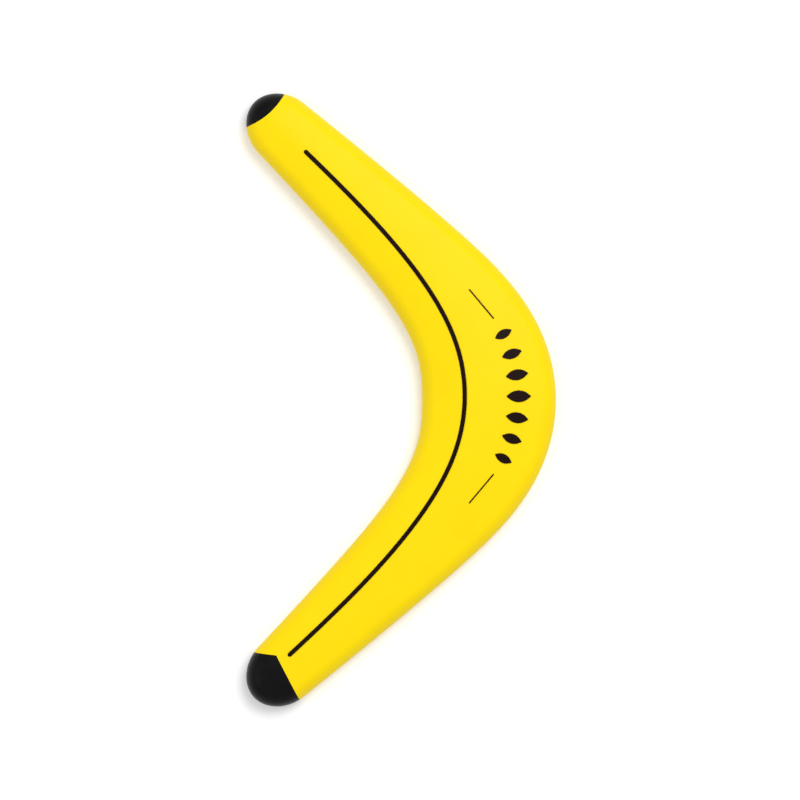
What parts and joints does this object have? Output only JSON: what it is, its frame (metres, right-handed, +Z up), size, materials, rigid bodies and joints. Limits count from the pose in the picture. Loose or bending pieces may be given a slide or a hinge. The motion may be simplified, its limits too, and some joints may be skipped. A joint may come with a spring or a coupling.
{
  "type": "soft boomerang",
  "caption": "Soft V-shaped throwing boomerang: glued foam halves with a flat underside and domed top, an inner spine, ballast discs, rubber tip caps and printed film on the crest.",
  "frame": {"origin": "centre of the bounding box's bottom face, on the flat underside", "axes": "+X towards the convex elbow, +Y towards the stem tip, +Z up out of the domed top"},
  "size_m": [0.1415, 0.2802, 0.0193],
  "materials": {
    "foam": "closed-cell foam with a smooth satin moulded skin, bright yellow",
    "cap": "soft black thermoplastic rubber, satin",
    "film": "thin heat-applied print film, near-black, faint gloss",
    "spine": "moulded polypropylene, natural",
    "ballast": "punched zinc-plated steel"
  },
  "bodies": {
    "root": {"upper_half": "foam", "lower_half": "foam", "spine_plate": "spine", "stem_ballast": "ballast", "blossom_ballast": "ballast", "stem_cap": "cap", "blossom_cap": "cap", "crest_stripe": "film", "stem_dash": "film", "blossom_dash": "film", "leaf_mark_1": "film", "leaf_mark_2": "film", "leaf_mark_3": "film", "leaf_mark_4": "film", "leaf_mark_5": "film", "leaf_mark_6": "film", "leaf_mark_7": "film"}
  },
  "joints": []
}
